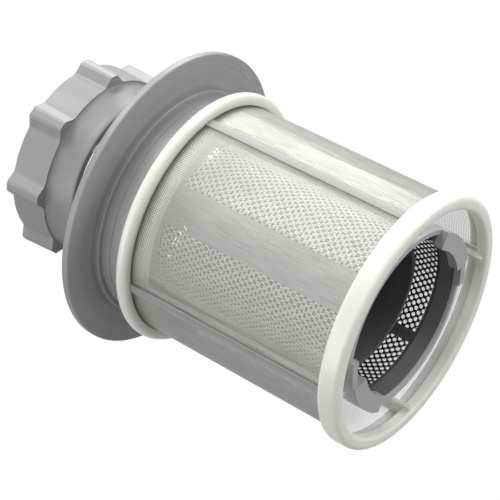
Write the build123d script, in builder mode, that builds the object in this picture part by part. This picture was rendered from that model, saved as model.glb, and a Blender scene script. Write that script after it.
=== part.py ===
from build123d import *
import math
import os

# Dishwasher filter. A fine mesh cylinder hangs from a flanged collar, and a coarse
# strainer with a lobed handle drops through the collar and locks with a twist.
# Millimetres. Z runs along the axis, from the mesh cylinder's foot up to the handle.

# Clearances: between bodies that move, between seated pieces, and round moulded-in steel
slip_gap = 0.3
seat_gap = 0.1
mould_gap = 0.05

# Mesh cylinder: rims, hoops, ribs and the woven steel sleeve that they hold
mesh_r = 37.0
mesh_wall = 0.5
mesh_bite = 1.4
rim_overhang = 2.5
rim_height = 6.7
rim_fillet = 1.6
foot_fillet = 1.0
top_rim_overhang = 3.3
top_rim_z = 74.9
top_rim_height = 3.6
top_rim_fillet = 1.7
hoop_wall = 1.0
hoop_height = 3.3
rib_count = 4
rib_angle = 41.0
rib_width = 2.8
rib_proud = 0.5
band_width = 4.4
band_depth = 0.6
fin_width = 1.2
fin_depth = 2.6
seat_width = 1.6
seat_height = 1.7

# Flange that rests on the sump plate, with its bead and its guide bore
flange_r = 47.5
flange_z = 89.85
flange_thickness = 2.4
flange_fillet = 0.5
bead_lap = 1.45
bead_height = 2.1
bead_wall = 2.0
bead_fillet = 0.4
bore_space = 3.2
bore_wall = 1.7
bore_depth = 14.0

# Collar tube between the flange and the mesh cylinder
collar_inset = 0.25
collar_wall = 2.0
collar_step = 0.2
collar_step_z = 84.6
collar_bite = 2.5
snap_height = 1.6
spigot_wall = 1.0

# Coarse cage: bayonet ring, bars and head round the perforated sheet
sheet_inset = 2.8
sheet_wall = 0.5
sheet_bite = 1.1
cage_wall = 1.7
ring_wall = 1.5
ring_z = 3.9
window_z = 9.9
window_top = 74.0
cone_height = 2.0
bar_width = 3.6
seam_width = 12.4
bar_angle = 8.0
seam_angle = 268.0
head_height = 6.0
ledge_depth = 1.85
ledge_width = 1.3

# Bayonet: two inward tabs, each with a recessed step beside it
tab_z = 1.7
tab_thickness = 3.0
tab_depth = 5.4
tab_span = 47.0
tab_fillet = 0.8
step_depth = 2.4
step_span = 20.0
step_sink = 0.8

# Round holes of the perforated sheet, staggered in each window
hole_r = 2.2
hole_rows = 8
column_pitch = 8.2

# Guide tube that leads the water down inside the perforated sheet
mouth_z = 15.0
tube_space = 2.8
tube_taper = 1.7
tube_wall = 1.4

# Handle: base ring, posts, bowl and lobed grip
base_lap = 2.7
base_thickness = 2.15
base_fillet = 0.7
post_count = 6
post_angle = -83.0
post_width = 2.4
post_inset = 0.8
neck_inset = 6.0
neck_height = 14.2
bowl_wall = 2.0
bowl_rise = 8.4
lip_flare = 0.5
lip_rise = 1.6
waist_flare = 1.4
waist_rise = 5.0
shoulder_flare = 3.1
grip_height = 12.4
grip_step = 0.5
grip_wall = 1.6
grip_draft = 2.8
grip_fillet = 0.6
lobe_count = 8
lobe_angle = 8.0
lobe_height = 2.9
lobe_width = 9.0
lobe_crown = 2.6
lobe_sink = 0.8
lobe_tip_fillet = 1.1
lobe_root_fillet = 2.4

# Radii that follow, from the mesh inwards: each is set off from the one round it
rim_r = mesh_r + rim_overhang
top_rim_r = mesh_r + top_rim_overhang
mesh_inner_r = mesh_r - mesh_wall
groove_r = mesh_r + mould_gap
hoop_r = mesh_inner_r - mould_gap
hoop_inner_r = hoop_r - hoop_wall
skirt_r = hoop_inner_r - slip_gap
collar_r = hoop_inner_r - collar_inset
collar_inner_r = collar_r - collar_wall
bead_r = collar_r + bead_lap
bore_r = collar_inner_r - bore_space - bore_wall
ring_r = bore_r - slip_gap
tab_inner_r = ring_r - tab_depth
step_inner_r = ring_r - step_depth
sheet_r = bore_r - sheet_inset
sheet_inner_r = sheet_r - sheet_wall
cage_r = sheet_r + (cage_wall - sheet_wall) / 2
cage_inner_r = cage_r - cage_wall
ledge_r = cage_inner_r + ledge_width
tube_head_r = sheet_inner_r - tube_space
mouth_r = tube_head_r - tube_taper
base_r = bore_r + base_lap
neck_r = base_r - neck_inset
lip_r = neck_r + lip_flare
waist_r = neck_r + waist_flare
shoulder_r = neck_r + shoulder_flare
grip_r = shoulder_r + grip_step
grip_bore_r = grip_r - grip_wall

# Levels that follow
top_rim_top = top_rim_z + top_rim_height
flange_top = flange_z + flange_thickness
bead_z = flange_z - bead_height
mesh_foot_z = rim_height - 3 * mesh_bite
mesh_head_z = top_rim_z + mesh_bite
groove_foot_z = mesh_foot_z - mould_gap
groove_head_z = mesh_head_z + mould_gap
skirt_z = top_rim_z - collar_bite
seat_z = skirt_z - seat_height
sheet_foot_z = window_z - sheet_bite
sheet_head_z = window_top + sheet_bite
ledge_z = flange_top - ledge_depth
base_top = flange_top + base_thickness
neck_z = base_top + neck_height
grip_z = neck_z + bowl_rise
bars = [
    (bar_angle, bar_width),
    (bar_angle + 90, bar_width),
    (bar_angle + 180, bar_width),
    (seam_angle, seam_width),
]


def ring(inner, outer, low, high, mode=Mode.ADD):
    """One rectangle of a ring's section, given by its radii and its levels."""
    with Locations(((inner + outer) / 2, (low + high) / 2)):
        Rectangle(outer - inner, high - low, mode=mode)


def at(radius, angle):
    """The point of the plane at a radius and an angle in degrees."""
    turn = math.radians(angle)
    return (radius * math.cos(turn), radius * math.sin(turn))


def sector(inner, outer, start, span):
    """A flat piece of a ring, from one angle over a span in degrees."""
    with BuildLine() as outline:
        CenterArc((0, 0), outer, start, span)
        CenterArc((0, 0), inner, start, span)
        Line(at(inner, start), at(outer, start))
        Line(at(inner, start + span), at(outer, start + span))
    make_face(outline.edges())


def half_angle(width, radius):
    """Half the angle that a bar of this width takes up at this radius, in degrees."""
    return math.degrees(math.asin(width / 2 / radius))


# Foot rim: the lower ring of the ivory moulding. The groove all round is where the steel
# sleeve is moulded in, and inside the sleeve the ring is a little lower
with BuildPart() as foot_rim:
    with BuildSketch(Plane.XZ) as foot:
        ring(hoop_inner_r, rim_r, 0, rim_height)
        fillet(foot.vertices().group_by(Axis.X)[-1], rim_fillet)
        fillet(foot.vertices().group_by(Axis.X)[0].sort_by(Axis.Y)[0], foot_fillet)
        ring(hoop_r, groove_r, groove_foot_z, rim_height, mode=Mode.SUBTRACT)
        ring(hoop_inner_r, hoop_r, hoop_height, rim_height, mode=Mode.SUBTRACT)
    revolve(axis=Axis.Z)

# Top rim: the upper ring of the same moulding, with the seat that the collar stands on
with BuildPart() as top_rim:
    with BuildSketch(Plane.XZ) as crown:
        ring(hoop_inner_r, top_rim_r, top_rim_z, top_rim_top)
        fillet(crown.vertices().group_by(Axis.X)[-1], top_rim_fillet)
        ring(hoop_inner_r, hoop_r, seat_z, top_rim_top)
        ring(hoop_inner_r - seat_width, hoop_r, seat_z, skirt_z)
        ring(hoop_r, groove_r, top_rim_z, groove_head_z, mode=Mode.SUBTRACT)
    revolve(axis=Axis.Z)

# Ribs: four bands outside the mesh, and behind each a wider inner band with a fin on it
with BuildPart() as ribs:
    with BuildSketch(Plane.XY.offset(rim_height)):
        half = half_angle(rib_width, mesh_r)
        for k in range(rib_count):
            sector(groove_r, mesh_r + rib_proud, rib_angle + k * 360 / rib_count - half, 2 * half)
    extrude(amount=top_rim_z - rim_height)
    with BuildSketch(Plane.XY.offset(foot_fillet)):
        for width, depth in ((band_width, band_depth), (fin_width, fin_depth)):
            half = half_angle(width, hoop_r)
            for k in range(rib_count):
                sector(hoop_r - depth, hoop_r, rib_angle + k * 360 / rib_count - half, 2 * half)
    extrude(amount=seat_z - foot_fillet)
    add(foot_rim.part, mode=Mode.SUBTRACT)

# Fine mesh: the woven steel sleeve, moulded into both rims and under the ribs
with BuildPart() as fine_mesh:
    with BuildSketch(Plane.XY.offset(mesh_foot_z)):
        Circle(mesh_r)
        Circle(mesh_inner_r, mode=Mode.SUBTRACT)
    extrude(amount=mesh_head_z - mesh_foot_z)

# Flange: a flat disc with a rounded rim, a bead ring that centres it in the sump's
# hole, and an inner wall that guides the coarse strainer
with BuildPart() as flange:
    with BuildSketch(Plane.XZ) as disc:
        ring(bore_r, flange_r, flange_z, flange_top)
        fillet(disc.vertices().group_by(Axis.X)[-1], flange_fillet)
        ring(bead_r - bead_wall, bead_r, bead_z, flange_z)
        fillet(disc.vertices().group_by(Axis.Y)[0].sort_by(Axis.X)[-1], bead_fillet)
        ring(bore_r, bore_r + bore_wall, flange_top - bore_depth, flange_z)
    revolve(axis=Axis.Z)

# Collar: a stepped tube whose spigot fits inside the flange's bead, and whose foot
# stands on the frame's seat and snaps past its top hoop
with BuildPart() as collar:
    with BuildSketch(Plane.XZ):
        ring(collar_inner_r, collar_r - collar_step, skirt_z, collar_step_z)
        ring(collar_inner_r, collar_r, collar_step_z, bead_z)
        ring(collar_inner_r, collar_inner_r + spigot_wall, bead_z, flange_z - seat_gap)
        with BuildLine():
            Polyline(
                (collar_inner_r, skirt_z + snap_height / 2),
                (collar_r - collar_step - mould_gap, skirt_z + snap_height / 2),
                (skirt_r, skirt_z + snap_height),
                (collar_r - collar_step - mould_gap, skirt_z + 3 * snap_height / 2),
                (collar_inner_r, skirt_z + 3 * snap_height / 2),
                close=True,
            )
        make_face()
    revolve(axis=Axis.Z)

# Coarse cage: bayonet ring at the foot, four bars, and a head that runs in the bore.
# One bar is wide, where the perforated sheet's two ends meet
with BuildPart() as coarse_cage:
    with BuildSketch(Plane.XZ):
        with BuildLine():
            Polyline(
                (ring_r - ring_wall, ring_z),
                (ring_r, ring_z),
                (ring_r, window_z - cone_height),
                (cage_r, window_z),
                (cage_r, flange_top),
                (ledge_r, flange_top),
                (ledge_r, ledge_z),
                (cage_inner_r, ledge_z),
                (cage_inner_r, window_z - cone_height / 2),
                close=True,
            )
        make_face()
        ring(cage_r - seat_gap, bore_r - slip_gap, flange_top - head_height, flange_top)
    revolve(axis=Axis.Z)
    with BuildSketch(Plane.XY.offset(window_z)):
        for k, (angle, width) in enumerate(bars):
            next_angle, next_width = bars[(k + 1) % len(bars)]
            start = angle + half_angle(width, cage_r)
            end = next_angle - half_angle(next_width, cage_r)
            sector(tube_head_r, ring_r, start, (end - start) % 360)
    extrude(amount=window_top - window_z, mode=Mode.SUBTRACT)
    with BuildSketch(Plane.XY.offset(tab_z)) as tabs:
        for turn in (0, 180):
            sector(tab_inner_r, ring_r, bar_angle + turn - tab_span / 2, tab_span)
        inner = tabs.vertices().filter_by(lambda v: math.hypot(v.X, v.Y) < tab_inner_r + 0.1)
        fillet(inner, tab_fillet)
    extrude(amount=tab_thickness)
    with BuildSketch(Plane.XY.offset(tab_z + step_sink)):
        for turn in (0, 180):
            sector(step_inner_r, ring_r, bar_angle + turn + tab_span / 2, step_span)
    extrude(amount=tab_thickness)
    with BuildSketch(Plane.XZ):
        ring(
            sheet_inner_r - mould_gap,
            sheet_r + mould_gap,
            sheet_foot_z - mould_gap,
            sheet_head_z + mould_gap,
        )
    revolve(axis=Axis.Z, mode=Mode.SUBTRACT)

# Coarse sheet: a curved steel panel in each window, held in the cage's groove on all four
# sides and perforated with staggered columns of round holes
with BuildPart() as coarse_sheet:
    for k, (angle, width) in enumerate(bars):
        next_angle, next_width = bars[(k + 1) % len(bars)]
        start = angle + half_angle(width, cage_r)
        span = (next_angle - half_angle(next_width, cage_r) - start) % 360
        bite = half_angle(2 * sheet_bite, sheet_r)
        with BuildSketch(Plane.XY.offset(sheet_foot_z)):
            sector(sheet_inner_r, sheet_r, start - bite, span + 2 * bite)
        extrude(amount=sheet_head_z - sheet_foot_z)
        columns = int(math.radians(span) * sheet_r // column_pitch)
        row_pitch = (window_top - window_z) / (hole_rows + 0.5)
        for column in range(columns):
            turn = start + span * (column + 0.5) / columns
            outward = Plane((0, 0, 0), x_dir=(0, 0, 1), z_dir=(*at(1, turn), 0))
            first = window_z + row_pitch * (0.5 + 0.5 * (column % 2))
            rows = [(first + row * row_pitch, 0) for row in range(hole_rows)]
            with BuildSketch(outward):
                with Locations(*rows):
                    Circle(hole_r)
            extrude(amount=ring_r, mode=Mode.SUBTRACT)

# Guide tube: a slightly tapered tube that hangs by its collar from the cage's ledge
with BuildPart() as guide_tube:
    with BuildSketch(Plane.XZ):
        with BuildLine():
            Polyline(
                (mouth_r - tube_wall, mouth_z),
                (mouth_r, mouth_z),
                (tube_head_r, flange_top - head_height),
                (tube_head_r, ledge_z),
                (ledge_r - seat_gap, ledge_z),
                (ledge_r - seat_gap, flange_top - seat_gap),
                (tube_head_r, flange_top - seat_gap),
                (tube_head_r, base_top),
                (tube_head_r - tube_wall, base_top),
                (tube_head_r - tube_wall, flange_top - head_height),
                close=True,
            )
        make_face()
    revolve(axis=Axis.Z)

# Handle base: the ring that lies on the flange round the guide tube's head
with BuildPart() as handle_base:
    with BuildSketch(Plane.XZ) as base:
        ring(tube_head_r + seat_gap, base_r, flange_top, base_top)
        fillet(base.vertices().group_by(Axis.X)[-1].sort_by(Axis.Y)[-1], base_fillet)
    revolve(axis=Axis.Z)

# Handle posts: they leave open windows all round, under the bowl
with BuildPart() as handle_posts:
    with BuildSketch(Plane.XY.offset(base_top)):
        post_r = neck_r - post_inset
        half = half_angle(post_width, post_r)
        for k in range(post_count):
            start = post_angle + k * 360 / post_count - half
            sector(neck_r - bowl_wall, post_r, start, 2 * half)
    extrude(amount=neck_height)

# Handle grip: a bowl that widens into an open wall with eight rounded ridges, which give
# the fingers their hold
with BuildPart() as handle_grip:
    with BuildSketch(Plane.XZ):
        with BuildLine():
            Spline(
                (neck_r, neck_z),
                (lip_r, neck_z + lip_rise),
                (waist_r, neck_z + waist_rise),
                (shoulder_r, grip_z),
                tangents=((1, 1), (1, 0.7)),
            )
            Polyline((shoulder_r, grip_z), (0, grip_z), (0, neck_z), (neck_r, neck_z))
        make_face()
    revolve(axis=Axis.Z)
    with BuildSketch(Plane.XY.offset(grip_z)) as grip:
        Circle(grip_r)
        with PolarLocations(0, lobe_count, start_angle=lobe_angle):
            Polygon(
                (grip_r - lobe_sink, -lobe_width / 2),
                (grip_r + lobe_height, -lobe_crown / 2),
                (grip_r + lobe_height, lobe_crown / 2),
                (grip_r - lobe_sink, lobe_width / 2),
                align=None,
            )
        tips = grip.vertices().filter_by(lambda v: math.hypot(v.X, v.Y) > grip_r + 1)
        fillet(tips, lobe_tip_fillet)
        roots = grip.vertices().filter_by(
            lambda v: abs(math.hypot(v.X, v.Y) - grip_r) < 0.01
        )
        fillet(roots, lobe_root_fillet)
    extrude(amount=grip_height, taper=-grip_draft)
    fillet(handle_grip.faces().sort_by(Axis.Z)[-1].outer_wire().edges(), grip_fillet)
    with BuildSketch(Plane.XZ):
        with BuildLine():
            Polyline(
                (0, neck_z),
                (neck_r - bowl_wall, neck_z),
                (shoulder_r - bowl_wall, grip_z + bowl_wall / 2),
                (grip_bore_r, grip_z + bowl_wall),
                (grip_bore_r, grip_z + grip_height),
                (0, grip_z + grip_height),
                close=True,
            )
        make_face()
    revolve(axis=Axis.Z, mode=Mode.SUBTRACT)

pieces = {
    "foot_rim": foot_rim,
    "top_rim": top_rim,
    "ribs": ribs,
    "fine_mesh": fine_mesh,
    "flange": flange,
    "collar": collar,
    "coarse_cage": coarse_cage,
    "coarse_sheet": coarse_sheet,
    "guide_tube": guide_tube,
    "handle_base": handle_base,
    "handle_posts": handle_posts,
    "handle_grip": handle_grip,
}
os.makedirs("parts", exist_ok=True)
for name, piece in pieces.items():
    piece.part.label = name
    export_step(piece.part, f"parts/{name}.step")
    print(name, round(piece.part.volume), "mm3,", len(piece.part.solids()), "solid")
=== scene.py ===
# %% [markdown]
# # A dishwasher filter, dressed in Blender
# The solids come from a CAD model: an ivory mesh cylinder, a grey flange on a collar, and
# a coarse strainer with a lobed handle. Here they get their finishes, and two of them get
# a better body: the woven sleeve and the perforated sheet. Everything is in metres, and
# +Z runs up the filter's axis from the foot of the mesh cylinder.

# %% Load the frame
import math
import bpy
from mathutils import Matrix, Vector


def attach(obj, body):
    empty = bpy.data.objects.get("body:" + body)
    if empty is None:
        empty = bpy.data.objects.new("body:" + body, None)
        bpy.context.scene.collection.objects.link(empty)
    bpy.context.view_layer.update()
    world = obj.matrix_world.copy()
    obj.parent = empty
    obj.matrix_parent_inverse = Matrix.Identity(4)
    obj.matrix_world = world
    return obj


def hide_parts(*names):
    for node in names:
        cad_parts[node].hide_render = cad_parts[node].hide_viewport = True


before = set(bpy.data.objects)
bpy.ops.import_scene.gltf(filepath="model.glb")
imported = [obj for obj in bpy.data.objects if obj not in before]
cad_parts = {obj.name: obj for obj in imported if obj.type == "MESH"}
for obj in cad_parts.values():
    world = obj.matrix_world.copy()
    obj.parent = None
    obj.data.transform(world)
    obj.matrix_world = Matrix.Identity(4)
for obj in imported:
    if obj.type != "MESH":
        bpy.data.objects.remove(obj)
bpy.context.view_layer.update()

# %% [markdown]
# ## Measures from the solids
# The CAD solids already say how wide and how high each piece is. Typing those numbers
# again would work too, but the finishes and the new pieces then drift from the solids as
# soon as one changes. So radii and heights are measured here, on the solids' own points.

# %% Radii and heights
def tube_of(name):
    """A node's inner and outer radius, and the two heights that it lies between."""
    points = [vertex.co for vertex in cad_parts[name].data.vertices]
    radii = [math.hypot(point.x, point.y) for point in points]
    heights = [point.z for point in points]
    return min(radii), max(radii), min(heights), max(heights)


cloth_inner_r, cloth_outer_r, cloth_low, cloth_high = tube_of("fine_mesh")
sheet_inner_r, sheet_outer_r, sheet_low, sheet_high = tube_of("coarse_sheet")
cage_outer_r = tube_of("coarse_cage")[1]
sleeve_r = (cloth_inner_r + cloth_outer_r) / 2
sheet_r = (sheet_inner_r + sheet_outer_r) / 2
print("cloth at radius", round(sleeve_r * 1000, 3), "mm, sheet at", round(sheet_r * 1000, 3), "mm")
print("cage", round(cage_outer_r * 1000, 3), "mm round the axis")

# %% [markdown]
# ## The camera
# The filter was photographed with a long lens, its open foot towards the camera and its
# axis leaning across the picture. The filter itself stands upright here, so the camera
# takes the lean: it sits low in front, looks up into the foot and is rolled to one side.
# A direction of view and an up vector say that more plainly than three angles would.

# %% Camera
middle = Vector((0, 0, 0.06))
eye = Vector((-0.002682, -0.470612, -0.189900))
ahead = Vector((0, 0.884255, 0.467004)).normalized()
up = Vector((0.888056, -0.214698, 0.406523)).normalized()
right = ahead.cross(up)
camera = bpy.data.objects.new("camera", bpy.data.cameras.new("camera"))
camera.data.sensor_width = 36
camera.data.lens = 129.17
camera.data.clip_start = 0.01
camera.data.clip_end = 20
camera.matrix_world = Matrix.Translation(eye) @ Matrix((right, up, -ahead)).transposed().to_4x4()
bpy.context.scene.collection.objects.link(camera)
bpy.context.scene.camera = camera
print("camera", round((eye - middle).length, 3), "m from the filter's middle")

# %% [markdown]
# ## Helpers for node trees
# A shader tree is a list of nodes and the wires between them. Wiring each by hand takes
# three lines a node. A few small helpers keep the trees below short: they add a node with
# its settings, a sum or product, a share spread over a range, or a mix of two colours.

# %% Node helpers
def node(tree, kind, inputs=None, **settings):
    """Adds a node. A value in inputs is a number, a colour or another node's socket."""
    made = tree.nodes.new(kind)
    for name, value in settings.items():
        setattr(made, name, value)
    for key, value in (inputs or {}).items():
        if isinstance(value, bpy.types.NodeSocket):
            tree.links.new(value, made.inputs[key])
        else:
            made.inputs[key].default_value = value
    return made


def calc(tree, operation, *values, clamp=False):
    """Adds a Math node and gives its result."""
    made = node(tree, "ShaderNodeMath", dict(enumerate(values)), operation=operation)
    made.use_clamp = clamp
    return made.outputs[0]


def rest_of(tree, share):
    """What a share leaves of the whole."""
    return calc(tree, "SUBTRACT", 1.0, share)


def ranged(tree, share, low, high):
    """Spreads a share from 0 to 1 over another range."""
    made = node(tree, "ShaderNodeMapRange", {"Value": share, "To Min": low, "To Max": high})
    return made.outputs["Result"]


def blend(tree, share, a, b):
    """Mixes two colours by a share and gives the result."""
    mix = node(tree, "ShaderNodeMix", data_type="RGBA")
    for index, value in ((0, share), (6, a), (7, b)):
        if isinstance(value, bpy.types.NodeSocket):
            tree.links.new(value, mix.inputs[index])
        else:
            mix.inputs[index].default_value = value
    return mix.outputs[2]


# %% [markdown]
# ## A helper for materials
# Every finish starts in the same way, with a Principled BSDF whose sockets get plain
# values. The maps are then wired in by the cell that makes the finish, because they
# differ from one finish to the next.

# %% Material helper
def finish_of(name, **sockets):
    """A new material with a Principled BSDF, and plain values on the sockets named."""
    material = bpy.data.materials.new(name)
    material.use_nodes = True
    shader = material.node_tree.nodes["Principled BSDF"]
    for key, value in sockets.items():
        shader.inputs[key.replace("_", " ")].default_value = value
    print("material", name)
    return material, material.node_tree, shader


# %% [markdown]
# ## The white surroundings
# The background of the picture is white, so the world is white for the camera and for
# what lets light through. One level for everything would be simpler, but it would wash
# out the steel. So the world is a softer grey in reflections, where the steel needs
# something dark to mirror, and softer still for the light that it casts.

# %% World
mirrored_level = 0.5
cast_level = 0.35
bpy.context.scene.view_settings.view_transform = "Standard"
world = bpy.data.worlds.new("studio")
bpy.context.scene.world = world
world.use_nodes = True
sky = world.node_tree
paths = node(sky, "ShaderNodeLightPath")
seen = calc(sky, "MAXIMUM", paths.outputs["Is Camera Ray"], paths.outputs["Is Transmission Ray"])
mirrored = calc(sky, "MULTIPLY", paths.outputs["Is Glossy Ray"], mirrored_level)
level = calc(sky, "MAXIMUM", calc(sky, "MAXIMUM", seen, mirrored), cast_level)
sky.links.new(level, sky.nodes["Background"].inputs["Strength"])
sky.nodes["Background"].inputs["Color"].default_value = (1, 1, 1, 1)
print("world: 1 to the eye,", mirrored_level, "in mirrors and", cast_level, "as light")

# %% [markdown]
# ## The floor
# The floor is a pale sheet under the foot. The camera looks up from below it, so the
# floor's back lets every ray through. Only the camera meets its front: the light passes,
# and the open foot is lit from below as it would be in the hand. Leaving the floor out
# would do for this one picture, but not for the views from above.

# %% Floor
def flat_sheet(name, half_size, height):
    """A square sheet at a height, as a mesh of one face."""
    mesh = bpy.data.meshes.new(name)
    corners = [(-1, -1), (1, -1), (1, 1), (-1, 1)]
    verts = [(x * half_size, y * half_size, height) for x, y in corners]
    mesh.from_pydata(verts, [], [(0, 1, 2, 3)])
    sheet = bpy.data.objects.new(name, mesh)
    bpy.context.scene.collection.objects.link(sheet)
    return sheet


floor = flat_sheet("floor", half_size=3.0, height=-0.0002)
paint, tree, shader = finish_of("floor_paint", Base_Color=(0.86, 0.86, 0.86, 1), Roughness=0.9)
side = node(tree, "ShaderNodeNewGeometry")
paths = node(tree, "ShaderNodeLightPath")
other_rays = rest_of(tree, paths.outputs["Is Camera Ray"])
hidden = calc(tree, "MAXIMUM", side.outputs["Backfacing"], other_rays)
clear = node(tree, "ShaderNodeBsdfTransparent")
choice = node(tree, "ShaderNodeMixShader", {0: hidden, 1: shader.outputs[0], 2: clear.outputs[0]})
tree.links.new(choice.outputs[0], tree.nodes["Material Output"].inputs["Surface"])
floor.data.materials.append(paint)

# %% [markdown]
# ## The lamps
# Square area lamps stand in for a photographer's soft boxes, because a large lamp gives
# soft shadows and a broad gleam on the steel. Each is placed by the camera's own right,
# up and ahead, which is how one would set lamps round a table. The key lights the ridges
# of the grip and draws the gleam on the strainer. The others fill in the far side, the
# left flank, the foot and what faces the camera.

# %% Lamps
def soft_lamp(name, place, power, size):
    """A square area lamp that points at the middle of the filter."""
    lamp = bpy.data.objects.new(name, bpy.data.lights.new(name, "AREA"))
    lamp.data.energy = power
    lamp.data.size = size
    lamp.location = place
    lamp.rotation_euler = (middle - place).to_track_quat("-Z", "Y").to_euler()
    bpy.context.scene.collection.objects.link(lamp)
    return lamp


lamps = [
    soft_lamp("key", middle - 0.38 * right + 0.84 * up - 0.38 * ahead, power=6.8, size=0.4),
    soft_lamp("top", middle + 0.08 * right + 0.95 * up + 0.35 * ahead, power=4.9, size=0.4),
    soft_lamp("side", middle - 0.80 * right - 0.40 * up - 0.45 * ahead, power=3.8, size=0.6),
    soft_lamp("foot", middle + 0.85 * right + 0.42 * up - 0.3 * ahead, power=4.0, size=0.5),
    soft_lamp("front", middle + 0.35 * right + 0.38 * up - 0.85 * ahead, power=1.5, size=0.5),
]
print("lamps", [lamp.name for lamp in lamps])

# %% [markdown]
# ## Moulded plastic
# Both plastics are injection moulded. Such a surface is never one flat colour: it has a
# slight cloudiness and a fine spark-eroded grain that softens its shine. The grain is a
# noise that reads the piece's own coordinates, so it stays put when the piece moves. It
# is a node group, because both plastics use it, and so does the perforated steel. Copying
# its nodes into each material would work too, but then each change is made many times.

# %% Helper for node groups
def new_group(name, sockets_in, sockets_out):
    """An empty shader node group with named inputs and outputs."""
    group = bpy.data.node_groups.new(name, "ShaderNodeTree")
    for socket, kind, value in sockets_in:
        made = group.interface.new_socket(name=socket, in_out="INPUT", socket_type=kind)
        if value is not None:
            made.default_value = value
    for socket, kind in sockets_out:
        group.interface.new_socket(name=socket, in_out="OUTPUT", socket_type=kind)
    print("node group", name)
    return group, group.nodes.new("NodeGroupInput"), group.nodes.new("NodeGroupOutput")


# %% Node group: moulded grain
grain, given, result = new_group(
    "moulded_grain",
    [("Place", "NodeSocketVector", None), ("Cloud Scale", "NodeSocketFloat", 60.0)],
    [("Cloud", "NodeSocketFloat"), ("Grain", "NodeSocketFloat")],
)
cloud = node(
    grain,
    "ShaderNodeTexNoise",
    {"Vector": given.outputs["Place"], "Scale": given.outputs["Cloud Scale"], "Detail": 3.0},
)
speck = node(
    grain,
    "ShaderNodeTexNoise",
    {"Vector": given.outputs["Place"], "Scale": 2600.0, "Detail": 2.0},
)
grain.links.new(cloud.outputs["Fac"], result.inputs["Cloud"])
grain.links.new(speck.outputs["Fac"], result.inputs["Grain"])


def grained(tree, cloud_scale):
    """Places the moulded grain in a material, on the piece's own coordinates."""
    where = node(tree, "ShaderNodeTexCoord")
    values = {"Place": where.outputs["Object"], "Cloud Scale": cloud_scale}
    return node(tree, "ShaderNodeGroup", values, node_tree=grain)


def bumped(tree, shader, height, strength):
    """Lets a height bend the shading, as if it stood a tenth of a millimetre high."""
    values = {"Strength": strength, "Distance": 0.0001, "Height": height}
    bump = node(tree, "ShaderNodeBump", values)
    tree.links.new(bump.outputs[0], shader.inputs["Normal"])


# %% [markdown]
# ## A band between two levels
# Several finishes change at a height or at a distance from the axis: the ivory is beige
# inside, and the strainer is painted dark inside, as painted shade. One small group draws
# such a change, as a soft step from one level to another, so every finish can give its own.

# %% Node group: band
band, given, result = new_group(
    "band",
    [
        ("Value", "NodeSocketFloat", 0.0),
        ("From", "NodeSocketFloat", 0.0),
        ("To", "NodeSocketFloat", 1.0),
    ],
    [("Mask", "NodeSocketFloat")],
)
ramp = node(
    band,
    "ShaderNodeMapRange",
    {0: given.outputs["Value"], 1: given.outputs["From"], 2: given.outputs["To"]},
    interpolation_type="SMOOTHSTEP",
)
band.links.new(ramp.outputs[0], result.inputs[0])


def band_of(tree, value, start, end):
    """Places a band mask in a material."""
    values = {"Value": value, "From": start, "To": end}
    return node(tree, "ShaderNodeGroup", values, node_tree=band).outputs["Mask"]


def height_and_radius(tree):
    """A point's height on the piece, and its distance from the filter's axis."""
    where = node(tree, "ShaderNodeTexCoord")
    split = node(tree, "ShaderNodeSeparateXYZ", {0: where.outputs["Object"]})
    flat = node(tree, "ShaderNodeCombineXYZ", {0: split.outputs[0], 1: split.outputs[1]})
    away = node(tree, "ShaderNodeVectorMath", {0: flat.outputs[0]}, operation="LENGTH")
    return split.outputs[2], away.outputs["Value"]


# %% [markdown]
# ## Ivory plastic
# The frame of the mesh cylinder is an ivory moulding. Its rims are thick and a little
# translucent, so some light goes in and comes out again beside where it entered: that is
# what the subsurface weight is for. Inside, where it is thin over the steel, it is beige.

# %% Ivory plastic
ivory_low, ivory_high = (0.78, 0.785, 0.70, 1), (0.86, 0.865, 0.80, 1)
beige = (0.88, 0.83, 0.74, 1)
beige_from, beige_full = 0.0008, 0.0034
ivory, tree, shader = finish_of("ivory_plastic", Roughness=0.3, Subsurface_Weight=0.5)
shader.inputs["Subsurface Radius"].default_value = (0.004, 0.0036, 0.0026)
shader.inputs["Subsurface Scale"].default_value = 1.0
mould = grained(tree, 45.0)
tone = blend(tree, mould.outputs["Cloud"], ivory_low, ivory_high)
height, radius = height_and_radius(tree)
inside = rest_of(tree, band_of(tree, radius, cloth_inner_r - 0.0001, cloth_inner_r + 0.0001))
thin = calc(tree, "MULTIPLY", inside, band_of(tree, height, beige_from, beige_full))
tone = blend(tree, thin, tone, beige)
tree.links.new(tone, shader.inputs["Base Color"])
bumped(tree, shader, mould.outputs["Grain"], 0.08)

# %% [markdown]
# ## The ribs
# The ribs are the same ivory, but so thin over the cloth that the steel shows through and
# prints its wires on them. A mix of alpha and a fine wave along Z does both. Modelling
# the print would cost far more faces than it is worth.

# %% Rib plastic
rib_low, rib_high = (0.43, 0.44, 0.42, 1), (0.49, 0.50, 0.48, 1)
rib_beige = (0.86, 0.81, 0.72, 1)
wire_grey = (0.32, 0.32, 0.31, 1)
ribbed, tree, shader = finish_of("rib_plastic", Roughness=0.4, Alpha=0.6)
mould = grained(tree, 45.0)
tone = blend(tree, mould.outputs["Cloud"], rib_low, rib_high)
radius = height_and_radius(tree)[1]
inside = rest_of(tree, band_of(tree, radius, sleeve_r - 0.00015, sleeve_r + 0.00015))
tone = blend(tree, inside, tone, rib_beige)
where = node(tree, "ShaderNodeTexCoord")
values = {"Vector": where.outputs["Object"], "Scale": 530.0}
wire_marks = node(tree, "ShaderNodeTexWave", values, bands_direction="Z")
marked = calc(tree, "MULTIPLY", wire_marks.outputs["Fac"], 0.35)
tone = blend(tree, marked, tone, wire_grey)
tree.links.new(tone, shader.inputs["Base Color"])
bumped(tree, shader, mould.outputs["Grain"], 0.08)

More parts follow.
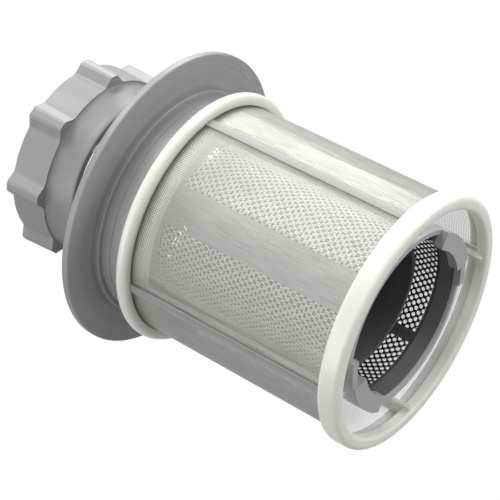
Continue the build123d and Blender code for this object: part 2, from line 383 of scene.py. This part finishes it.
# %% [markdown]
# ## A scratch
# Used plastic has a few scratches. This group draws one, from its start and its run: a
# point belongs to it when its distance from that line is under a width that a noise makes
# uneven. A painted image could show the same, but it would stay at one resolution.

# %% Node group: scratch
scratch, given, result = new_group(
    "scratch",
    [
        ("Place", "NodeSocketVector", None),
        ("Start", "NodeSocketVector", None),
        ("Run", "NodeSocketVector", None),
        ("Width", "NodeSocketFloat", 0.0002),
    ],
    [("Mask", "NodeSocketFloat")],
)
place, start, run, width = [given.outputs[name] for name in ("Place", "Start", "Run", "Width")]


def measure(operation, a, b):
    """Adds a Vector Math node to the scratch group."""
    return node(scratch, "ShaderNodeVectorMath", {0: a, 1: b}, operation=operation)


off = measure("SUBTRACT", place, start)
along = measure("DOT_PRODUCT", off.outputs[0], run)
whole = measure("DOT_PRODUCT", run, run)
share = calc(scratch, "DIVIDE", along.outputs["Value"], whole.outputs["Value"], clamp=True)
nearest = node(scratch, "ShaderNodeVectorMath", {0: run, "Scale": share}, operation="SCALE")
gap = measure("DISTANCE", off.outputs[0], nearest.outputs[0])
uneven = node(scratch, "ShaderNodeTexNoise", {"Vector": place, "Scale": 900.0})
doubled = calc(scratch, "MULTIPLY", uneven.outputs["Fac"], 2.0)
uneven_width = calc(scratch, "MULTIPLY", width, doubled)
within = calc(scratch, "LESS_THAN", gap.outputs["Value"], uneven_width)
scratch.links.new(within, result.inputs["Mask"])


def scratch_of(tree, place, start, run, width):
    """Places one scratch in a material."""
    values = {"Place": place, "Start": start, "Run": run, "Width": width}
    return node(tree, "ShaderNodeGroup", values, node_tree=scratch).outputs["Mask"]


# %% [markdown]
# ## Grey plastic
# Flange, collar, strainer and handle are one grey plastic, in tones that differ a little
# from piece to piece, save that the strainer is painted paler, as painted light, and the
# guide tube darker, as painted shade. One function makes them all, where a material drawn
# by hand for each would repeat the same tree five times. The flange, the collar and the
# handle's base ring have faint rings, which the turned mould left. The lobed grip has none.

# %% Grey plastic
ring_tone = (0.6, 0.6, 0.6, 1)
# Painted shade: the strainer's inside is painted near black for the shade that falls within it.
inner_shade_tone = (0.08, 0.08, 0.082, 1)
mark_tone = (0.55, 0.55, 0.55, 1)
mark_width = 0.00012
shade_from = 0.0046


def grey_finish(name, low, high, scratches=(), shade_r=0.0, ring_share=0.0):
    """Grey moulded plastic between two tones, with scratches given by start and run.

    Inside the radius shade_r, the wall is painted dark, as painted shade. The rings of the
    turned mould show by ring_share."""
    material, tree, shader = finish_of(name)
    mould = grained(tree, 70.0)
    tone = blend(tree, mould.outputs["Cloud"], low, high)
    height, radius = height_and_radius(tree)
    section = node(tree, "ShaderNodeCombineXYZ", {0: radius, 1: height})
    values = {"Vector": section.outputs[0], "Scale": 520.0, "Detail": 1.0}
    rings = node(tree, "ShaderNodeTexNoise", values)
    ring = calc(tree, "MULTIPLY", band_of(tree, rings.outputs["Fac"], 0.45, 0.8), ring_share)
    tone = blend(tree, ring, tone, ring_tone)
    if shade_r:
        tone = blend(tree, painted_inner_shade(tree, height, radius, shade_r), tone, inner_shade_tone)
    where = node(tree, "ShaderNodeTexCoord")
    for start, run in scratches:
        mark = scratch_of(tree, where.outputs["Object"], start, run, mark_width)
        tone = blend(tree, calc(tree, "MULTIPLY", mark, 0.5), tone, mark_tone)
    tree.links.new(tone, shader.inputs["Base Color"])
    tree.links.new(ranged(tree, mould.outputs["Cloud"], 0.38, 0.5), shader.inputs["Roughness"])
    bumped(tree, shader, mould.outputs["Grain"], 0.1)
    return material


def painted_inner_shade(tree, height, radius, shade_r):
    """Where the strainer is painted dark, as painted shade: inside and above the tabs, but not outside
    its bars.
    """
    within = rest_of(tree, band_of(tree, radius, shade_r - 0.0002, shade_r))
    above_tabs = band_of(tree, height, shade_from, shade_from + 0.0004)
    outside = band_of(tree, radius, sheet_outer_r + 0.0003, sheet_outer_r + 0.0005)
    on_bars = band_of(tree, height, sheet_low - 0.0003, sheet_low + 0.0007)
    bars_outside = calc(tree, "MULTIPLY", outside, on_bars)
    shaded = calc(tree, "MULTIPLY", within, above_tabs)
    return calc(tree, "MULTIPLY", shaded, rest_of(tree, bars_outside))


# %% [markdown]
# ## The grey tones
# The grip and posts are plain. The strainer is painted paler than the other pieces, as
# painted light, and dark within, as painted shade. The guide tube's dark grey is painted
# darker still all over, as painted shade. The two scratches lie on the flange's underside,
# where the hand drags it over the sump.

# %% Grey tones
grey_low, grey_high = (0.27, 0.27, 0.275, 1), (0.33, 0.33, 0.337, 1)
grey = grey_finish("grey_plastic", grey_low, grey_high)
turned_low, turned_high = (0.28, 0.28, 0.285, 1), (0.34, 0.34, 0.347, 1)
turned_grey = grey_finish("turned_plastic", turned_low, turned_high, ring_share=0.3)
# Painted light: the strainer is the same plastic as the other pieces, painted paler as if lit more.
strainer_lit_low, strainer_lit_high = (0.39, 0.39, 0.405, 1), (0.45, 0.45, 0.47, 1)
# Inside this radius the strainer gets painted shade.
shade_r = cage_outer_r - 0.0012
strainer_grey = grey_finish("strainer_plastic", strainer_lit_low, strainer_lit_high, shade_r=shade_r)
# Painted shade: the guide tube's dark grey plastic is painted darker still for the shade inside the
# strainer.
tube_shade_low, tube_shade_high = (0.09, 0.09, 0.092, 1), (0.12, 0.12, 0.123, 1)
tube_grey_and_shade = grey_finish("tube_plastic", tube_shade_low, tube_shade_high)
flange_under = 0.08985
flange_marks = [
    ((-0.0358, -0.0061, flange_under), (-0.0108, -0.0015, 0)),
    ((0.0465, -0.0012, flange_under), (-0.0025, 0.0085, 0)),
]
flange_grey = grey_finish("flange_plastic", grey_low, grey_high, flange_marks, ring_share=0.16)

# %% [markdown]
# ## Dressing the solids
# The moulded pieces keep their CAD solids, which are exact, and only get a finish. The
# old material slots are cleared first, so that the finish covers the whole piece.

# %% Dress the moulded nodes
finishes = [
    (grey, ("handle_posts", "handle_grip")),
    (turned_grey, ("collar", "handle_base")),
    (tube_grey_and_shade, ("guide_tube",)),
    (strainer_grey, ("coarse_cage",)),
    (flange_grey, ("flange",)),
    (ivory, ("foot_rim", "top_rim")),
    (ribbed, ("ribs",)),
]
for material, names in finishes:
    for name in names:
        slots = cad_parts[name].data.materials
        slots.clear()
        slots.append(material)
dressed = [name for material, names in finishes for name in names]
print("dressed", len(dressed), "of", len(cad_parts), "CAD nodes")

# %% [markdown]
# ## The perforated sheet
# The coarse strainer is steel sheet with staggered holes of about a millimetre. The CAD
# solid has a few large holes, which is enough for collision. Here each hole is cut: the
# sheet is tiled with diamonds, one round each hole, so that neighbours share their
# corners. A Solidify modifier then gives the sheet its thickness. Cutting the holes with
# booleans would be far slower. There are four panels, one for each window between the
# cage's bars, given in degrees. Each laps a little into what frames it.

# %% Layout of the holes
held_end = 0.0011
window_low, window_high = sheet_low + held_end, sheet_high - held_end
windows = [(11.9, 94.1), (101.9, 184.1), (191.9, 254.4), (281.6, 364.1)]
lap_along = 0.0006
lap_angle = 1.5
pitch_round = 0.0021
pitch_along = 0.0026
hole_r = 0.00065
hole_sides = 12
print("windows from", round(window_low * 1000, 1), "to", round(window_high * 1000, 1), "mm")

# %% Points on the sheet
def on_sheet(turn, level):
    """A point of the curved sheet, by its turn about the axis and its level."""
    return sheet_r * math.cos(turn), sheet_r * math.sin(turn), level


def hole_rim(turn, level):
    """The points of one round hole in the sheet, round its middle."""
    angles = [2 * math.pi * k / hole_sides for k in range(hole_sides)]
    return [on_sheet(turn + hole_r * math.cos(a) / sheet_r, level + hole_r * math.sin(a)) for a in angles]


# %% Perforated panels
def perforated_panel(name, start, end):
    """A curved panel of diamonds with a round hole in each, from one turn to another."""
    bottom = window_low - lap_along
    first = math.radians(start - lap_angle)
    span = math.radians(end - start + 2 * lap_angle)
    columns = round(span * sheet_r / pitch_round)
    rows = math.ceil((window_high - window_low) / pitch_along) + 1
    step = span / columns
    quarter = hole_sides // 4
    verts, faces, known = [], [], {}

    def corner(u, v):
        """The corner of a diamond, made once and shared with the diamonds next to it."""
        key = (round(u * 4), round(v * 4))
        if key not in known:
            known[key] = len(verts)
            verts.append(on_sheet(first + u * step, bottom + v * pitch_along))
        return known[key]

    for i in range(1, 2 * columns + 1):
        for j in range(2 - i % 2, 2 * rows + 1, 2):
            u, v = i / 2, j / 2
            rim = range(len(verts), len(verts) + hole_sides)
            verts.extend(hole_rim(first + u * step, bottom + v * pitch_along))
            around = [corner(u + 0.5, v), corner(u, v + 0.5), corner(u - 0.5, v), corner(u, v - 0.5)]
            for q in range(4):
                arc = [rim[(q * quarter + k) % hole_sides] for k in range(quarter, -1, -1)]
                faces.append([around[q], around[(q + 1) % 4], *arc])
    mesh = bpy.data.meshes.new(name)
    mesh.from_pydata(verts, [], faces)
    mesh.shade_smooth()
    panel = bpy.data.objects.new(name, mesh)
    bpy.context.scene.collection.objects.link(panel)
    thick = panel.modifiers.new("thickness", "SOLIDIFY")
    thick.thickness = sheet_outer_r - sheet_inner_r
    thick.offset = 0
    return panel


panels = [
    perforated_panel(f"perforated_panel_{k + 1}", start, end)
    for k, (start, end) in enumerate(windows)
]
print("perforated faces", sum(len(panel.data.polygons) for panel in panels))

# %% [markdown]
# ## Perforated steel
# Outside, the sheet is bright: it is what gleams through the cloth. Inside it is painted
# nearly black, as painted shade for the dark within the strainer, and so the holes read as
# bright dots from the foot. The radius tells the two faces apart, because the sheet is only
# half a millimetre thick.

# %% Steel finish
bright_low, bright_high = (0.78, 0.77, 0.75, 1), (0.9, 0.89, 0.87, 1)
# Painted shade: the sheet's inner face is painted near black for the shade inside the strainer.
steel_inner_shade = (0.05, 0.05, 0.05, 1)
steel, tree, shader = finish_of("perforated_steel", Metallic=1.0)
mould = grained(tree, 120.0)
tone = blend(tree, mould.outputs["Cloud"], bright_low, bright_high)
radius = height_and_radius(tree)[1]
outer_face = band_of(tree, radius, sheet_inner_r, sheet_inner_r + 0.0003)
tone = blend(tree, outer_face, steel_inner_shade, tone)
tree.links.new(tone, shader.inputs["Base Color"])
tree.links.new(ranged(tree, mould.outputs["Cloud"], 0.26, 0.36), shader.inputs["Roughness"])
for panel in panels:
    panel.data.materials.append(steel)
    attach(panel, "coarse_insert")
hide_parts("coarse_sheet")

# %% [markdown]
# ## The woven sleeve
# The fine mesh is cloth woven from steel wire, about two wires to a millimetre. Real
# wires would need millions of faces, so the sleeve is one thin curved sheet, and its
# material draws the weave: where no wire crosses, the sheet is clear. Its texture
# coordinates are in metres, round the sleeve and along it, because a weave is laid out
# along the cloth and not along X, Y and Z.

# %% Sleeve
def woven_tube(name, radius, low, high, sides=256, rows=4):
    """A tube of one sheet, with texture coordinates in metres."""
    mesh = bpy.data.meshes.new(name)
    turns = [2 * math.pi * i / sides for i in range(sides)]
    circle = [(radius * math.cos(turn), radius * math.sin(turn)) for turn in turns]
    levels = [low + (high - low) * j / rows for j in range(rows + 1)]
    verts = [(x, y, level) for level in levels for x, y in circle]
    faces = []
    for j in range(rows):
        for i in range(sides):
            here, beside = j * sides + i, j * sides + (i + 1) % sides
            faces.append((here, beside, beside + sides, here + sides))
    mesh.from_pydata(verts, [], faces)
    mesh.shade_smooth()
    layer = mesh.uv_layers.new(name="weave")
    for face in mesh.polygons:
        i = face.index % sides
        for corner_index, vertex in zip(face.loop_indices, face.vertices):
            column = vertex % sides
            if column == 0 and i == sides - 1:
                column = sides
            round_it = 2 * math.pi * radius * column / sides
            layer.data[corner_index].uv = (round_it, mesh.vertices[vertex].co.z)
    tube = bpy.data.objects.new(name, mesh)
    bpy.context.scene.collection.objects.link(tube)
    return tube


sleeve = woven_tube("woven_sleeve", sleeve_r, cloth_low, cloth_high)
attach(sleeve, "mesh_cylinder")
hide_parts("fine_mesh")
print("sleeve faces", len(sleeve.data.polygons))

# %% [markdown]
# ## The weave
# In a plain weave each wire goes over and under the ones that it crosses. Two sets of
# stripes make the wires, and a product of two cosines says which set is on top at each
# crossing. The group puts out where there is wire, and how high it stands.

# %% Node group: woven wire
weave, given, result = new_group(
    "woven_wire",
    [
        ("Place", "NodeSocketVector", None),
        ("Pitch", "NodeSocketFloat", 0.0006),
        ("Wire", "NodeSocketFloat", 0.225),
    ],
    [("Cover", "NodeSocketFloat"), ("Height", "NodeSocketFloat")],
)
split = node(weave, "ShaderNodeSeparateXYZ", {0: given.outputs["Place"]})
across = calc(weave, "DIVIDE", split.outputs[0], given.outputs["Pitch"])
along = calc(weave, "DIVIDE", split.outputs[1], given.outputs["Pitch"])
turn_across = calc(weave, "COSINE", calc(weave, "MULTIPLY", across, math.pi))
turn_along = calc(weave, "COSINE", calc(weave, "MULTIPLY", along, math.pi))
over = calc(weave, "MULTIPLY", turn_across, turn_along)


def wire_rows(position, side):
    """One set of wires: where they are, and how high they stand."""
    away = calc(weave, "ABSOLUTE", calc(weave, "WRAP", position, 0.5, -0.5))
    inside = calc(weave, "LESS_THAN", away, given.outputs["Wire"])
    share = calc(weave, "DIVIDE", away, given.outputs["Wire"])
    fall = calc(weave, "POWER", share, 2.0)
    crown = calc(weave, "SQRT", calc(weave, "SUBTRACT", 1.0, fall, clamp=True))
    wave = calc(weave, "MULTIPLY_ADD", over, side, crown)
    return inside, calc(weave, "MULTIPLY", calc(weave, "ADD", wave, 1.0), inside)


warp, warp_height = wire_rows(across, 0.6)
weft, weft_height = wire_rows(along, -0.6)
weave.links.new(calc(weave, "MAXIMUM", warp, weft), result.inputs["Cover"])
weave.links.new(calc(weave, "MAXIMUM", warp_height, weft_height), result.inputs["Height"])

# %% [markdown]
# ## Streaks
# The cloth has long faint streaks down its length, and it is slightly uneven round its
# girth, so its gleam breaks up. Both are noises that are stretched along the sleeve.

# %% Node group: drawn streaks
streaks, given, result = new_group(
    "drawn_streaks",
    [("Place", "NodeSocketVector", None)],
    [("Fine", "NodeSocketFloat"), ("Broad", "NodeSocketFloat")],
)
for socket, stretch in (("Fine", (2200.0, 130.0, 1.0)), ("Broad", (150.0, 22.0, 1.0))):
    values = {0: given.outputs["Place"], 1: stretch}
    stretched = node(streaks, "ShaderNodeVectorMath", values, operation="MULTIPLY")
    values = {"Vector": stretched.outputs[0], "Scale": 1.0, "Detail": 2.0}
    noise = node(streaks, "ShaderNodeTexNoise", values)
    streaks.links.new(noise.outputs["Fac"], result.inputs[socket])


# %% [markdown]
# ## Steel cloth
# The streaks set how bright and how smooth the wire is. Near the top rim the cloth turns
# a dark beige: partly plastic that crept into it in the mould, partly painted shade under
# the rim. Its inner face is painted paler, as painted light for what comes in at the foot.
# All of this could be painted on an image, but a material that knows height and side keeps
# its detail from any distance.

# %% Woven steel
wire_pitch = 0.0006
wire_half = 0.225
wire_low, wire_high = (0.30, 0.283, 0.255, 1), (0.59, 0.573, 0.533, 1)
# Partly real, partly painted: the beige of crept plastic, darkened as painted shade under the top rim.
rim_beige_and_shade = (0.22, 0.207, 0.184, 1)
# Painted light: the cloth's inner face is painted paler for the light that comes in at the foot.
painted_inner_light = (0.93, 0.925, 0.90, 1)
woven, tree, shader = finish_of("woven_steel")
where = node(tree, "ShaderNodeUVMap", uv_map="weave")
values = {"Place": where.outputs[0], "Pitch": wire_pitch, "Wire": wire_half}
wires = node(tree, "ShaderNodeGroup", values, node_tree=weave)
drawn = node(tree, "ShaderNodeGroup", {"Place": where.outputs[0]}, node_tree=streaks)
tone = blend(tree, drawn.outputs["Fine"], wire_low, wire_high)
height = node(tree, "ShaderNodeSeparateXYZ", {0: where.outputs[0]}).outputs[1]
at_rim = band_of(tree, height, cloth_high - 0.0083, cloth_high - 0.0005)
tone = blend(tree, at_rim, tone, rim_beige_and_shade)
side = node(tree, "ShaderNodeNewGeometry")
tone = blend(tree, side.outputs["Backfacing"], tone, painted_inner_light)
metal = calc(tree, "MULTIPLY_ADD", side.outputs["Backfacing"], -0.7, 0.7)
tree.links.new(metal, shader.inputs["Metallic"])
tree.links.new(ranged(tree, drawn.outputs["Fine"], 0.48, 0.2), shader.inputs["Roughness"])

# %% [markdown]
# ## White specks in the weave
# The specks are cells of a Voronoi texture, kept where they lie along one of two short
# lines. The scratch group draws those lines: it serves here as a row to strew along.

# %% White specks
# White specks in the weave, strewn along two short lines.
white_speck_lines = [
    ((0.1588, 0.0627, 0), (0.0087, -0.0015, 0)),
    ((0.1895, 0.06597, 0), (0.0024, -0.0004, 0)),
]
white_speck_width = 0.0009
white_speck_tone = (0.97, 0.97, 0.96, 1)
values = {"Vector": where.outputs[0], "Scale": 1100.0, "Randomness": 0.8}
cells = node(tree, "ShaderNodeTexVoronoi", values)
dot = calc(tree, "LESS_THAN", cells.outputs["Distance"], 0.34)
white_speck_rows = [
    scratch_of(tree, where.outputs[0], start, run, white_speck_width)
    for start, run in white_speck_lines
]
white_specks = calc(tree, "MULTIPLY", calc(tree, "MAXIMUM", *white_speck_rows), dot)
tone = blend(tree, white_specks, tone, white_speck_tone)
tree.links.new(tone, shader.inputs["Base Color"])
print("lime rows", len(white_speck_rows))

# %% [markdown]
# ## How far the weave closes
# Seen at a slant, the wires hide the gaps between them, so the cover goes up with Layer
# Weight's Facing. It is closed too where plastic fills it, and at the white specks. A flat
# sheet can't know that light glances off round wires and goes on inside, so shadow rays
# meet a thinner cloth than the camera does. Light Path tells the two kinds of ray apart.

# %% Cover of the cloth
light_passes = 0.45
sight_passes = 0.18
streak_relief = 14.0
slant = node(tree, "ShaderNodeLayerWeight", {"Blend": 0.5})
closed = band_of(tree, slant.outputs["Facing"], 0.2, 0.75)
closed = calc(tree, "MULTIPLY", closed, rest_of(tree, side.outputs["Backfacing"]))
crept_in = band_of(tree, height, cloth_high - 0.0028, cloth_high - 0.0005)
filled = calc(tree, "MAXIMUM", crept_in, white_specks)
cover = calc(tree, "MAXIMUM", wires.outputs["Cover"], calc(tree, "MAXIMUM", filled, closed))
paths = node(tree, "ShaderNodeLightPath")
light_through = calc(tree, "MULTIPLY", paths.outputs["Is Shadow Ray"], light_passes)
seen_through = calc(tree, "MULTIPLY", side.outputs["Backfacing"], sight_passes)
through = calc(tree, "MAXIMUM", light_through, seen_through)
cover = calc(tree, "MULTIPLY", cover, rest_of(tree, through))
tree.links.new(cover, shader.inputs["Alpha"])
relief = calc(
    tree, "MULTIPLY_ADD", drawn.outputs["Broad"], streak_relief, wires.outputs["Height"]
)
bumped(tree, shader, relief, 0.6)
sleeve.data.materials.append(woven)
print("the weave's material has", len(tree.nodes), "nodes")
